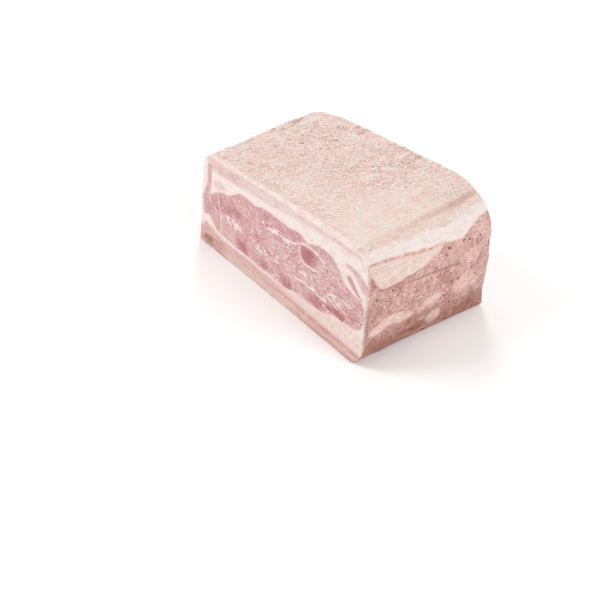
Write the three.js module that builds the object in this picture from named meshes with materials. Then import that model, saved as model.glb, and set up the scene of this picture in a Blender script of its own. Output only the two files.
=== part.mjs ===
// Cooked streaky bacon slab: one block of meat, cut clean across its front and back.
// Millimetres, Z up. X runs along the cut face, Y from the cut face to the back.
import * as THREE from 'three';

// Driving sizes of the block
const WIDTH = 188; // along the foot of the cut face
const DEPTH_LEFT = 104; // cut face to back, at the left end
const DEPTH_RIGHT = 108; // cut face to back, at the right end
const HEIGHT = { frontLeft: 75.5, frontRight: 83, backRight: 92, backLeft: 84.6 };
const LEFT_LEAN = 12; // the left end leans in by this at its top
const FRONT_LEAN = 1.8; // the cut face leans back by this at its top
const BACK_TUCK = 2.4; // the right end tucks in by this at the foot of its back
const END_SWELL = 1.6; // and swells out by this halfway up

// The block is first drawn square at these mean sizes, then pulled to the sizes above
const DEPTH = (DEPTH_LEFT + DEPTH_RIGHT) / 2;
const TALL = (HEIGHT.frontLeft + HEIGHT.frontRight + HEIGHT.backRight + HEIGHT.backLeft) / 4;

// Radii of the block's edges
const BACK_EDGE = 4.5;
const TOP_BACK_EDGE = 6.5;
const TOP_LEFT_EDGE = 7.5;
const BACK_CORNER = 13; // where the left end, the back and the top meet
const FOOT_EDGE = 0.02; // sharp, where the meat lies flat
const FOOT_SHARPENS = 15; // the upright edges lose their rounding over this height above the foot
const SHOULDER_FRONT = { across: 9, down: 13 }; // fatty shoulder over the right end
const SHOULDER_BACK = { across: 44, down: 28 };

// Where the rounding of one edge passes into that of the next
const SHOULDER_RISE = [0.45 * TALL, 0.72 * TALL]; // heights, from the upright edges to the shoulder
const SHOULDER_START = [0.5 * WIDTH, 0.75 * WIDTH]; // places along the back, on to the shoulder
const LEFT_END = [0.4 * WIDTH, 0.1 * WIDTH]; // places along the back, on to the left edge
const CORNER_REACH = 30; // the back corner's rounding dies out this far along its edges

// The foot: its sides bow in between the corners, and the right end curls in to it
const FOOT_BOW = 0.4;
const CURL_FRONT = { across: 18, up: 17 };
const CURL_BACK = { across: 3, up: 4 };
const CURL_REACH = 0.92; // how much of a quarter round the curl takes

// Relief: how far fat stands out and creases sink, in millimetres
const FAT_PROUD = 0.6;
const LEAN_ROUGH = 0.35;
const CRAG_HIGH = 0.7;
const CRAG_SPACING = 9;
const CREASE_HALF_WIDTH = 2.5;
const SEAM_DEEP = 0.7; // under the fat band
const CRACK_DEEP = 0.6; // across the lean of an end
const STEP_SOFT = 1.5; // half the width of the step from lean to fat
const EDGE_FADE = 8; // the relief dies out this close to an edge

// Facets along each side
const FACETS = { x: 38, y: 24, z: 18 };
const CROWDING = 0.08; // draws the facets together toward the edges

// Lines on the cut face, as [x, z]: top and foot of the main lean, foot of the top streak,
// and top of the lower streak
const LEAN_TOP = [[8, 48], [22, 57], [38, 62], [50, 68.5], [80, 70], [113, 69], [128, 66.5],
  [143, 69.5], [156, 67], [164, 59], [180, 51]];
const LEAN_FOOT = [[8, 30], [20, 21.5], [45, 19], [105, 18], [140, 20], [156, 25], [182, 28]];
const TOP_STREAK_FOOT = [[8, 72], [40, 74], [100, 76], [150, 79], [182, 79]];
const LOWER_STREAK_TOP = [[8, 20], [30, 17], [100, 15], [140, 12], [182, 10]];
const OVAL_MUSCLE = { x: 131, z: 57, halfWide: 12, halfTall: 6.5 };
const OVAL_SOFT = [1.2, 0.6]; // shares of the half sizes over which the muscle swells

// Lines on the right end, as [y, z]: foot of the white fat band, foot of the fat lens,
// the crease in the lean, and the low fat streak
const BAND_FOOT = [[0, 79], [20, 75], [40, 70], [60, 67], [75, 63], [90, 67], [110, 70]];
const LENS_FOOT = [[0, 70], [12, 56], [36, 55], [48, 59], [60, 66]];
const END_CREASE = [[10, 57], [28, 54], [45, 50], [70, 46]];
const LOW_STREAK = [[6, 25], [22, 30.5], [40, 27], [58, 29], [88, 28]];
const LOW_STREAK_HALF = 3;
const LOW_STREAK_FAT = 0.7; // the rest of the streak is lean

// Creases that run front to back along the top
const TOP_CREASES = [{ x: 11, deep: 0.7 }, { x: 177, deep: 0.9 }];

const mix = (a, b, t) => a + (b - a) * t;
const clamp = (value, low, high) => Math.min(Math.max(value, low), high);

function ease(from, to, value) {
  const t = clamp((value - from) / (to - from), 0, 1);
  return t * t * (3 - 2 * t);
}

// Height of a drawn line at one place along it
function lineAt(line, place) {
  const last = line.length - 1;
  if (place <= line[0][0]) return line[0][1];
  if (place >= line[last][0]) return line[last][1];
  const next = line.findIndex((point) => point[0] > place);
  const [from, to] = [line[next - 1], line[next]];
  return mix(from[1], to[1], ease(from[0], to[0], place));
}

const within = (line, place) => place >= line[0][0] && place <= line[line.length - 1][0];
const furrow = (offset, halfWidth) => Math.exp(-((offset / halfWidth) ** 2));

// Soft step from lean to fat, at a distance from the line between them
const past = (distance) => ease(-STEP_SOFT, STEP_SOFT, distance);

// Fixed scatter: a number from -1 to 1 for each lattice place, smoothed between places
const SCATTER_MIX = [127.1, 311.7, 74.7];
const SCATTER_STRETCH = 43758.5453;

function scatter(i, j, k) {
  const wave = Math.sin(i * SCATTER_MIX[0] + j * SCATTER_MIX[1] + k * SCATTER_MIX[2]) * SCATTER_STRETCH;
  return 2 * (wave - Math.floor(wave)) - 1;
}

function crag(x, y, z, spacing) {
  const place = [x / spacing, y / spacing, z / spacing];
  const base = place.map(Math.floor);
  const part = place.map((value, axis) => ease(0, 1, value - base[axis]));
  let sum = 0;
  for (let corner = 0; corner < 8; corner += 1) {
    const step = [corner & 1, (corner >> 1) & 1, corner >> 2];
    const share = step.reduce((product, on, axis) => product * (on ? part[axis] : 1 - part[axis]), 1);
    sum += share * scatter(base[0] + step[0], base[1] + step[1], base[2] + step[2]);
  }
  return sum;
}

// Outward relief of the cut face: fat stands out, lean sinks and is rough
function cutFaceRelief(x, y, z) {
  const inMain = past(lineAt(LEAN_TOP, x) - z) * past(z - lineAt(LEAN_FOOT, x));
  const inTop = past(z - lineAt(TOP_STREAK_FOOT, x));
  const inLower = past(lineAt(LOWER_STREAK_TOP, x) - z);
  const lean = clamp(inMain + inTop + inLower, 0, 1);
  const wide = (x - OVAL_MUSCLE.x) / OVAL_MUSCLE.halfWide;
  const tall = (z - OVAL_MUSCLE.z) / OVAL_MUSCLE.halfTall;
  const muscle = ease(...OVAL_SOFT, Math.hypot(wide, tall));
  return FAT_PROUD * (0.5 - lean + muscle) + lean * LEAN_ROUGH * crag(x, y, z, CRAG_SPACING);
}

// Outward relief of an end: the fat band and lens stand out over the cracked lean
function endRelief(x, y, z) {
  const seam = lineAt(BAND_FOOT, y);
  const band = past(z - seam);
  const lens = within(LENS_FOOT, y) ? past(z - lineAt(LENS_FOOT, y)) * (1 - band) : 0;
  const streak = within(LOW_STREAK, y) ? furrow(z - lineAt(LOW_STREAK, y), LOW_STREAK_HALF) : 0;
  const crack = within(END_CREASE, y) ? furrow(z - lineAt(END_CREASE, y), CREASE_HALF_WIDTH) : 0;
  const fat = clamp(band + lens + LOW_STREAK_FAT * streak, 0, 1);
  const rough = 2 * LEAN_ROUGH * crag(x, y, z, CRAG_SPACING);
  const groove = SEAM_DEEP * furrow(z - seam, CREASE_HALF_WIDTH) + CRACK_DEEP * crack;
  return FAT_PROUD * (2 * fat - 1) + (1 - fat) * rough - groove;
}

// Outward relief of the top: broad crags, with a crease along each side
function topRelief(x, y, z) {
  let height = CRAG_HIGH * crag(x, y, z, CRAG_SPACING);
  TOP_CREASES.forEach((line) => {
    height -= line.deep * furrow(x - line.x, CREASE_HALF_WIDTH);
  });
  return height;
}

// Relief at one place on the square block: each face has its own, and it dies out at the edges
function relief(x, y, z) {
  const toEnd = Math.min(x, WIDTH - x);
  const toCut = Math.min(y, DEPTH - y);
  const toTop = TALL - z;
  const edge = [toEnd, toCut, Math.min(toTop, z)].sort((a, b) => a - b)[1];
  const fade = ease(0, EDGE_FADE, edge);
  if (toTop <= toEnd && toTop <= toCut) return fade * topRelief(x, y, z);
  if (z <= toEnd && z <= toCut) return 0;
  return fade * (toEnd < toCut ? endRelief(x, y, z) : cutFaceRelief(x, y, z));
}

// Radii of the rounding at one place on the square block
function radiiAt(x, y, z) {
  const back = y / DEPTH;
  const high = ease(...SHOULDER_RISE, z);
  const low = ease(FOOT_SHARPENS, 0, z);
  const right = ease(...SHOULDER_START, x);
  const left = ease(...LEFT_END, x);
  const shoulderAcross = mix(SHOULDER_FRONT.across, SHOULDER_BACK.across, back);
  const shoulderDown = mix(SHOULDER_FRONT.down, SHOULDER_BACK.down, back);
  const leftAcross = mix(TOP_LEFT_EDGE, BACK_CORNER, ease(CORNER_REACH, BACK_CORNER, DEPTH - y));
  const upright = mix(BACK_EDGE, FOOT_EDGE, low);
  const backRound = mix(upright, BACK_CORNER, high * ease(CORNER_REACH, BACK_CORNER, x));
  const topDown = mix(mix(TOP_BACK_EDGE, shoulderDown, right), TOP_LEFT_EDGE, left);
  return new THREE.Vector3(
    mix(upright, x > WIDTH / 2 ? shoulderAcross : leftAcross, high),
    y > DEPTH / 2 ? backRound : FOOT_EDGE,
    z > TALL / 2 ? topDown : FOOT_EDGE,
  );
}

// A place on the square block's faces, rounded, raised by its relief and pulled to shape
function slabPoint(x, y, z) {
  const radii = radiiAt(x, y, z);
  const place = new THREE.Vector3(x, y, z);
  const inner = place.clone().clamp(radii, new THREE.Vector3(WIDTH, DEPTH, TALL).sub(radii));
  const outward = place.clone().sub(inner).divide(radii);
  if (y < DEPTH / 2) outward.y = 0; // the knife leaves the front edges sharp
  const reach = Math.max(Math.abs(outward.x), Math.abs(outward.y), Math.abs(outward.z));
  outward.setLength(reach);
  const rounded = inner.add(outward.clone().multiply(radii));
  const normal = y === 0 ? new THREE.Vector3(0, -1, 0) : outward.divide(radii).normalize();
  rounded.addScaledVector(normal, relief(x, y, z));
  const across = rounded.x / WIDTH;
  const back = rounded.y / DEPTH;
  const up = rounded.z / TALL;
  const frontHeight = mix(HEIGHT.frontLeft, HEIGHT.frontRight, across);
  const backHeight = mix(HEIGHT.backLeft, HEIGHT.backRight, across);
  const bow = FOOT_BOW * ease(FOOT_SHARPENS, 0, z);
  const drop = CURL_REACH * Math.max(0, 1 - rounded.z / mix(CURL_FRONT.up, CURL_BACK.up, back));
  const curl = mix(CURL_FRONT.across, CURL_BACK.across, back) * (1 - Math.sqrt(1 - drop * drop));
  const swell = across * back * (END_SWELL * Math.sin(Math.PI * up) - BACK_TUCK * (1 - up));
  const sway = LEFT_LEAN * (1 - across) * up + swell - curl * across ** 4;
  const endBow = bow * Math.sin(Math.PI * back) * (1 - 2 * across);
  const sideBow = bow * Math.sin(Math.PI * across) * (1 - 2 * back);
  return new THREE.Vector3(
    rounded.x + sway + endBow,
    mix(DEPTH_LEFT, DEPTH_RIGHT, across) * back + FRONT_LEAN * up * (1 - back) + sideBow,
    mix(frontHeight, backHeight, back) * up,
  );
}

// Place of one facet line along a side, crowded toward both ends
function spread(step, steps, size) {
  const share = step / steps;
  return size * (share - CROWDING * Math.sin(2 * Math.PI * share));
}

// Closed skin of facets over the six faces of the block, sharing their corners
function slabGeometry() {
  const { x: nx, y: ny, z: nz } = FACETS;
  const points = [];
  const known = new Map();
  const corner = (i, j, k) => {
    const key = (i * (ny + 1) + j) * (nz + 1) + k;
    if (!known.has(key)) {
      known.set(key, points.length);
      points.push(slabPoint(spread(i, nx, WIDTH), spread(j, ny, DEPTH), spread(k, nz, TALL)));
    }
    return known.get(key);
  };
  const triangles = [];
  const face = (a, b, c, d) => triangles.push(a, b, c, a, c, d);
  for (let i = 0; i < nx; i += 1) {
    for (let j = 0; j < ny; j += 1) {
      face(corner(i, j, nz), corner(i + 1, j, nz), corner(i + 1, j + 1, nz), corner(i, j + 1, nz));
      face(corner(i, j, 0), corner(i, j + 1, 0), corner(i + 1, j + 1, 0), corner(i + 1, j, 0));
    }
    for (let k = 0; k < nz; k += 1) {
      face(corner(i, 0, k), corner(i + 1, 0, k), corner(i + 1, 0, k + 1), corner(i, 0, k + 1));
      face(corner(i, ny, k), corner(i, ny, k + 1), corner(i + 1, ny, k + 1), corner(i + 1, ny, k));
    }
  }
  for (let j = 0; j < ny; j += 1) {
    for (let k = 0; k < nz; k += 1) {
      face(corner(nx, j, k), corner(nx, j + 1, k), corner(nx, j + 1, k + 1), corner(nx, j, k + 1));
      face(corner(0, j, k), corner(0, j, k + 1), corner(0, j + 1, k + 1), corner(0, j + 1, k));
    }
  }
  const geometry = new THREE.BufferGeometry().setFromPoints(points);
  geometry.setIndex(triangles);
  geometry.computeBoundingBox();
  const middle = geometry.boundingBox.getCenter(new THREE.Vector3());
  geometry.translate(-middle.x, -middle.y, -geometry.boundingBox.min.z);
  geometry.computeVertexNormals();
  return geometry;
}

const meat = new THREE.MeshStandardMaterial({ color: 0xd9b2ad, roughness: 0.5, metalness: 0 });
const slab = new THREE.Mesh(slabGeometry(), meat);
slab.name = 'bacon_slab';

const group = new THREE.Group();
group.name = 'streaky_bacon_slab';
group.add(slab);

export default group;
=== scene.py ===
"""Cooked streaky bacon slab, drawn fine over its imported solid.

The block has the solid's own form. Its cut faces show layers of lean and fat, its right end a fat
band over cracked lean, and its top a rough cooked skin. Sizes are in millimetres until the mesh is made.
"""

import math

import bpy
import numpy as np
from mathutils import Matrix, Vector


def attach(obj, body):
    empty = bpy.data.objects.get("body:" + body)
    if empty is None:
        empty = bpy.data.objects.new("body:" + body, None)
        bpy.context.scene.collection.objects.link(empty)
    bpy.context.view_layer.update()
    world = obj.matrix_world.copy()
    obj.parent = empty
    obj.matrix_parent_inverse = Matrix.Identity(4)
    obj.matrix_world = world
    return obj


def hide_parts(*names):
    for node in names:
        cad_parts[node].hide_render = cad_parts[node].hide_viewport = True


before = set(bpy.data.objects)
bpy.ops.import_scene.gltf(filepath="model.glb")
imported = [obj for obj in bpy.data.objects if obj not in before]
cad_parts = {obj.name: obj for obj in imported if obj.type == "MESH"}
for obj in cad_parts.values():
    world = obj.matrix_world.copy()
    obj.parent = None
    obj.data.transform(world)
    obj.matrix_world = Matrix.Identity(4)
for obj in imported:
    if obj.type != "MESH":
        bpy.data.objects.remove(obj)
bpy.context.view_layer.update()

# Sizes of the block, as in the solid
WIDTH = 188.0
DEPTH_LEFT, DEPTH_RIGHT = 104.0, 108.0
HEIGHTS = {"front_left": 75.5, "front_right": 83.0, "back_right": 92.0, "back_left": 84.6}
DEPTH = (DEPTH_LEFT + DEPTH_RIGHT) / 2
TALL = sum(HEIGHTS.values()) / 4
BLOCK = np.array([WIDTH, DEPTH, TALL])
LEFT_LEAN = 12.0
FRONT_LEAN = 1.8
BACK_TUCK = 2.4
END_SWELL = 1.6
MIDDLE = np.array([94.41, 54.05, 0.0])  # middle of the foot, from its front left corner

# Edges and foot of the block, as in the solid
BACK_EDGE = 4.5
TOP_BACK_EDGE = 6.5
TOP_LEFT_EDGE = 7.5
BACK_CORNER = 13.0
FOOT_EDGE = 0.02
FOOT_SHARPENS = 15.0
SHOULDER_FRONT = (9.0, 13.0)  # across, down
SHOULDER_BACK = (44.0, 28.0)
SHOULDER_RISE = (0.45 * TALL, 0.72 * TALL)  # from the upright edges to the shoulder
SHOULDER_START = (0.5 * WIDTH, 0.75 * WIDTH)  # along the back, on to the shoulder
LEFT_END = (0.4 * WIDTH, 0.1 * WIDTH)  # along the back, on to the left edge
CORNER_REACH = 30.0  # the back corner's rounding dies out this far along its edges
FOOT_BOW = 0.4
CURL_FRONT = (18.0, 17.0)  # across, up
CURL_BACK = (3.0, 4.0)
CURL_REACH = 0.92

# Fineness of the drawn skin
CELLS = (224, 92, 84)
CROWDING = 0.03

# Relief
EDGE_FADE = 6.0
FAT_PROUD = 0.35
CRAG_HIGH, CRAG_SPACING = 0.7, 9.0
GRIT_HIGH, GRIT_SPACING = 0.5, 3.0
DUST_HIGH, DUST_SPACING = 0.2, 1.9
CREASE_DEEP, CREASE_WIDE = 0.9, 1.1
WRINKLE_DEEP = 0.45
PIT_DEEP = 0.7
SKIN_GRAIN = (0.6, 0.8)  # way that the skin's wrinkles run, as (x, y)

NONE_NEAR = 9.0  # distance stored where there is no crease or vein
MILLIMETRE = 0.001
TINY = 1e-9  # keeps a length from being zero


def mix(a, b, t):
    """From a at t = 0 to b at t = 1."""
    return a + (b - a) * t


def ease(start, end, value):
    """0 at the start and 1 at the end, with a soft start and stop."""
    t = np.clip((value - start) / (end - start), 0, 1)
    return t * t * (3 - 2 * t)


# The block


def lattice():
    """Places on the square block's six faces, and the four-sided cells between them."""
    nx, ny, nz = CELLS
    grid = np.indices((nx + 1, ny + 1, nz + 1))
    shell = np.zeros(grid[0].shape, bool)
    for axis in range(3):
        shell |= (grid[axis] == 0) | (grid[axis] == CELLS[axis])
    number = np.full(shell.shape, -1)
    number[shell] = np.arange(shell.sum())
    steps = np.stack([grid[axis][shell] for axis in range(3)], axis=1)
    share = steps / np.array(CELLS)
    places = (share - CROWDING * np.sin(2 * np.pi * share)) * BLOCK
    cells, charts = [], []
    sheets = [
        ("foot", number[:, :, 0], True), ("top", number[:, :, nz], False),
        ("front", number[:, 0, :], False), ("back", number[:, ny, :], True),
        ("left", number[0, :, :], True), ("right", number[nx, :, :], False),
    ]
    for name, sheet, turned in sheets:
        quads = np.stack([sheet[:-1, :-1], sheet[1:, :-1], sheet[1:, 1:], sheet[:-1, 1:]], axis=-1)
        quads = quads.reshape(-1, 4)
        cells.append(quads[:, ::-1] if turned else quads)
        charts += [name] * len(quads)
    return steps, places, np.vstack(cells), np.array(charts)


def radii_at(x, y, z):
    """Radii of the block's rounding along each axis."""
    back = y / DEPTH
    high = ease(*SHOULDER_RISE, z)
    low = ease(FOOT_SHARPENS, 0, z)
    right = ease(*SHOULDER_START, x)
    left = ease(*LEFT_END, x)
    upright = mix(BACK_EDGE, FOOT_EDGE, low)
    back_round = mix(upright, BACK_CORNER, high * ease(CORNER_REACH, BACK_CORNER, x))
    left_across = mix(TOP_LEFT_EDGE, BACK_CORNER, ease(CORNER_REACH, BACK_CORNER, DEPTH - y))
    across = np.where(x > WIDTH / 2, mix(SHOULDER_FRONT[0], SHOULDER_BACK[0], back), left_across)
    down = mix(SHOULDER_FRONT[1], SHOULDER_BACK[1], back)
    down = mix(mix(TOP_BACK_EDGE, down, right), TOP_LEFT_EDGE, left)
    return np.stack([
        mix(upright, across, high),
        np.where(y > DEPTH / 2, back_round, FOOT_EDGE),
        np.where(z > TALL / 2, down, FOOT_EDGE),
    ], axis=1)


def rounded_off(places, relief):
    """The block's places, brought in to its rounded edges and raised by their relief."""
    x, y, z = places.T
    radii = radii_at(x, y, z)
    inner = np.clip(places, radii, BLOCK - radii)
    outward = (places - inner) / radii
    outward[y < DEPTH / 2, 1] = 0
    reach = np.abs(outward).max(axis=1, keepdims=True)
    length = np.maximum(np.linalg.norm(outward, axis=1, keepdims=True), TINY)
    outward *= reach / length
    rounded = inner + radii * outward
    normal = outward / radii
    normal[y == 0] = (0, -1, 0)
    normal /= np.maximum(np.linalg.norm(normal, axis=1, keepdims=True), TINY)
    return rounded + normal * relief[:, None]


def pulled(rounded, z):
    """Places of the rounded block, which began at heights z, pulled to the slab's form."""
    across, back, up = (rounded / BLOCK).T
    front_height = mix(HEIGHTS["front_left"], HEIGHTS["front_right"], across)
    back_height = mix(HEIGHTS["back_left"], HEIGHTS["back_right"], across)
    bow = FOOT_BOW * ease(FOOT_SHARPENS, 0, z)
    drop = CURL_REACH * np.maximum(0, 1 - rounded[:, 2] / mix(CURL_FRONT[1], CURL_BACK[1], back))
    curl = mix(CURL_FRONT[0], CURL_BACK[0], back) * (1 - np.sqrt(1 - drop * drop))
    swell = across * back * (END_SWELL * np.sin(np.pi * up) - BACK_TUCK * (1 - up))
    sway = LEFT_LEAN * (1 - across) * up + swell - curl * across ** 4
    return np.stack([
        rounded[:, 0] + sway + bow * np.sin(np.pi * back) * (1 - 2 * across),
        mix(DEPTH_LEFT, DEPTH_RIGHT, across) * back + FRONT_LEAN * up * (1 - back)
        + bow * np.sin(np.pi * across) * (1 - 2 * back),
        mix(front_height, back_height, back) * up,
    ], axis=1)


# Drawing on the faces
SCATTER_WAYS = np.array([127.1, 311.7, 74.7])  # any uneven numbers serve for these two
SCATTER_SIZE = 43758.5453
ELSEWHERE = 50.0  # far enough off for a scatter of its own
BLOT_FADE = (1.3, 0.4)  # a soft spot fades in between these shares of its half sizes


def crag(places, spacing):
    """Fixed smooth scatter from -1 to 1 over space, its lumps about one spacing wide."""
    place = places / spacing
    base = np.floor(place)
    part = ease(0, 1, place - base)
    total = np.zeros(len(places))
    for corner in np.ndindex(2, 2, 2):
        at = base + corner
        wave = np.sin(at @ SCATTER_WAYS) * SCATTER_SIZE
        share = np.prod(np.where(corner, part, 1 - part), axis=1)
        total += share * (2 * (wave - np.floor(wave)) - 1)
    return total


def swayed(spots, places, amount, spacing):
    """Spots pushed about a little, so that no drawn line is clean."""
    pushes = [crag(places, spacing), crag(places + ELSEWHERE, spacing)]
    return spots + amount * np.stack(pushes, axis=1)


def smooth_line(points, closed=False, pieces=6):
    """Places along a smooth curve through the given points."""
    p = np.array(points, float)
    if closed:
        p = np.vstack([p[-1:], p, p[:2]])
    else:
        p = np.vstack([2 * p[:1] - p[1:2], p, 2 * p[-1:] - p[-2:-1]])
    t = np.arange(pieces)[:, None] / pieces
    runs = []
    for a, b, c, d in zip(p[:-3], p[1:-2], p[2:-1], p[3:]):
        runs.append(b + 0.5 * t * (c - a + t * (2 * a - 5 * b + 4 * c - d + t * (3 * (b - c) + d - a))))
    if not closed:
        runs.append(p[-2:-1])
    return np.vstack(runs)


def distance(line, spots, closed=False):
    """Distance of each spot from a line of points."""
    nearest = np.full(len(spots), np.inf)
    ends = np.vstack([line[1:], line[:1]]) if closed else line[1:]
    for a, b in zip(line, ends):
        run = b - a
        along = np.clip((spots - a) @ run / (run @ run), 0, 1)
        nearest = np.minimum(nearest, np.linalg.norm(spots - a - along[:, None] * run, axis=1))
    return nearest


def inside_by(outline, spots):
    """How far each spot is inside a smooth closed outline; negative outside."""
    line = smooth_line(outline, closed=True)
    odd = np.zeros(len(spots), bool)
    for a, b in zip(line, np.vstack([line[1:], line[:1]])):
        if a[1] != b[1]:
            spans = (a[1] > spots[:, 1]) != (b[1] > spots[:, 1])
            odd ^= spans & (spots[:, 0] < a[0] + (spots[:, 1] - a[1]) * (b[0] - a[0]) / (b[1] - a[1]))
    return np.where(odd, 1, -1) * distance(line, spots, closed=True)


def strip(points, halves, spots):
    """How far each spot is inside a band round a smooth line, of one half width at each end."""
    line = smooth_line(points)
    run = line[-1] - line[0]
    share = np.clip((spots - line[0]) @ run / (run @ run), 0, 1)
    return mix(*halves, share) - distance(line, spots)


def blots(items, spots):
    """Soft spots added up, each given by its centre, half sizes and strength."""
    total = np.zeros(len(spots))
    for centre, halves, strength in items:
        out = np.linalg.norm((spots - np.array(centre)) / np.array(halves), axis=1)
        total += strength * ease(*BLOT_FADE, out)
    return total


# Layers of the cut faces, as (x, z)
MUSCLES = {  # outlines
    "main": [
        (9, 49), (15, 53), (22, 57.5), (30, 60), (38, 62.5), (45, 67), (52, 69), (60, 69.3), (68, 67.5),
        (76, 70), (86, 70), (106, 68.5), (115, 69.5), (122, 69), (128, 66.3), (134, 68), (141, 69.7),
        (150, 69.5), (157, 66.5), (161, 62.5), (165, 57), (172, 53), (184, 50), (187, 43), (186, 34),
        (181, 28), (168, 25.5), (157, 25), (147, 21), (138, 20), (126, 20.3), (115, 20), (107, 18),
        (75, 18.5), (40, 19.3), (24, 21), (15, 27), (9, 32), (6, 37), (6, 44),
    ],
    "top": [
        (5, 87), (6, 78), (9, 72.8), (15, 73.3), (40, 74), (70, 75.5), (100, 77), (120, 78.3), (150, 79.8),
        (178, 79), (182, 81), (160, 83), (120, 83.5), (80, 86),
    ],
    "lower": [
        (4, 20), (14, 20), (22, 18.3), (30, 16.3), (60, 16), (90, 15.3), (107, 13.8), (125, 12.3),
        (150, 10.8), (192, 9.4), (192, -4), (3, -4),
    ],
    "pale": [(14, 63), (19, 67.5), (27, 67), (31, 63.5), (26, 61), (18, 59.5)],
}
STREAKS = {  # lines, each with its half width from one end to the other
    "left": ([(7.5, 77), (8.5, 70), (9, 63), (8, 57), (5.5, 50), (5, 42), (6, 33)], (2.2, 3.8)),
    "side": ([(168, 69.5), (174, 69), (180, 66), (186, 61)], (1.2, 3.4)),
    "small": ([(171.5, 61), (175, 57.5), (180, 54), (184, 52)], (2.3, 0.7)),
}
LAYER_TONES = {  # how deep a rose each layer is
    "main": 0.55, "top": 0.12, "lower": 0.0, "left": 0.5, "side": 0.36, "small": 0.8, "pale": 0.06,
}
LAYER_FIRM = {"lower": 0.4, "left": 0.5}  # a layer not named here is 1, with a sharper edge
OVAL = [
    (119.5, 57), (121.5, 61.5), (127, 63.3), (134, 62.3), (141, 59), (144, 55), (139, 50.5), (130, 49.3),
    (123, 52),
]
VEINS = [  # lines, each with its half width
    ([(84, 57), (95, 57.3), (105, 58), (113, 59), (119, 61.8), (126, 63.8), (134, 63.3),
      (141, 61), (146, 59)], 0.9),
    ([(119.5, 60), (119.3, 56.5), (122, 51.5), (129, 48.6), (138, 49.5)], 0.85),
    ([(20, 57), (22, 48), (25, 38), (28, 24)], 0.75),
    ([(8, 47), (14, 43), (21, 37)], 0.7),
    ([(40, 58), (50, 54.5), (62, 52.5)], 0.4),
    ([(152, 39), (162, 41.3), (173, 41)], 0.8),
    ([(157, 37.5), (163, 34.5), (171, 33.5)], 0.7),
    ([(68, 33.5), (85, 32), (98, 34)], 0.6),
    ([(115, 32.5), (130, 33.5), (150, 31)], 0.8),
    ([(115, 20), (114.5, 26), (116, 31)], 0.5),
    ([(64, 42), (66.5, 46), (65, 51)], 0.6),
]
CUT_LINES = [  # thin shadows, as lines and how faint each is
    ([(9.5, 50), (15, 53.8), (22, 58), (30, 60.6)], 0.3),
    ([(12, 34), (22, 34.6), (31, 33.8)], 0.5),
    ([(40, 33.5), (49, 33.8)], 0.6),
    ([(170.5, 62), (173, 59.3), (176, 56.5)], 0.2),
    ([(168, 70.5), (174, 70.6), (180, 68)], 0.4),
]

# Tones of the cut faces: centre, half sizes and strength
ROSE_SPOTS = [
    ((130, 57), (7, 4.5), 0.15), ((54, 23.5), (8.5, 6), 0.42), ((82, 22.5), (6.5, 5), 0.25),
    ((107, 23), (8, 6), 0.36), ((139, 25), (10, 5.5), 0.25), ((160, 29), (12, 3), 0.6),
    ((178, 35), (8, 4), 0.3), ((33, 52), (21, 7), 0.24), ((50, 49.5), (7, 4), 0.22),
    ((23, 27), (6, 5), 0.2), ((84, 66), (12, 4), 0.12), ((113, 65), (12, 4.5), 0.16),
    ((60, 65), (8, 4), 0.08), ((98, 61.5), (3.5, 2.2), 0.3), ((24, 11), (6, 4), 0.3),
    ((12, 10), (7, 4), 0.15), ((72, 41), (5, 3), 0.15), ((10, 68), (3, 9), 0.15),
    ((142, 55), (5, 4.5), -0.2), ((122, 25), (7, 5), -0.08), ((95, 47), (20, 6), -0.06),
    ((92, 80), (30, 4), -0.2), ((22, 64), (8, 4), -0.15), ((35, 78), (26, 5), 0.22),
    ((10, 77), (5, 7), 0.25), ((24, 42), (16, 12), 0.08),
]
FLECK_SPOTS = [
    ((39, 38.5), (14, 5), 1.2), ((88, 58.5), (16, 2.6), 0.8), ((104, 56), (5, 2), 1.4),
    ((82, 35), (14, 4), 0.8), ((124, 40), (5, 2.5), 1.2), ((160, 39), (16, 4.5), 0.3),
    ((140, 33.5), (24, 2.2), 0.8), ((165, 62), (7, 6), 0.8), ((152, 60), (6, 4), 0.5),
    ((60, 57), (10, 2), 0.5), ((122, 25), (9, 5.5), -1.0), ((130, 57), (13, 7), -1.0),
    ((110, 65.5), (18, 4), -0.6), ((33, 51), (22, 6), -0.7), ((80, 66), (20, 3), -0.4),
    ((139, 25), (9, 5), -0.7), ((160, 29), (12, 3), -0.5), ((57, 41), (5, 6), -0.4),
    ((23, 30), (8, 9), -0.4), ((54, 23.5), (10, 7), -0.4), ((107, 23), (10, 7), -0.4),
    ((82, 22.5), (8, 6), -0.35),
]
CUT_BROWN = [((11, 6), (8, 5.5), 0.6)]

# Cut faces: strengths, and pairs that say where a change begins and where it is done
CUT_SWAY = (0.7, 6.5)  # amount, spacing
LEAN_ROUGH, LEAN_SPACING = 0.16, 2.6
MAIN_EDGE, SOFT_EDGE, FAT_STEP = (-1, 1), (-0.5, 0.5), (-1.2, 1.2)  # from outside to inside
OVAL_EDGE, OVAL_FADE, OVAL_ROSE = (-0.4, 1.2), (143, 127), 0.45
COARSER_ALONG, COARSENESS_ALONG = (50, 100), (0.5, 0.7)
LEFT_DRY, LEFT_DRY_BELOW = 0.5, (52, 44)
RIGHT_CREAM, RIGHT_CREAM_FROM, RIGHT_CREAM_BELOW = 0.45, (60, 110), (30, 22)
LEFT_CREAM, LEFT_CREAM_FROM, LEFT_CREAM_BELOW = 0.05, (120, 60), (22, 18)

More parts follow.
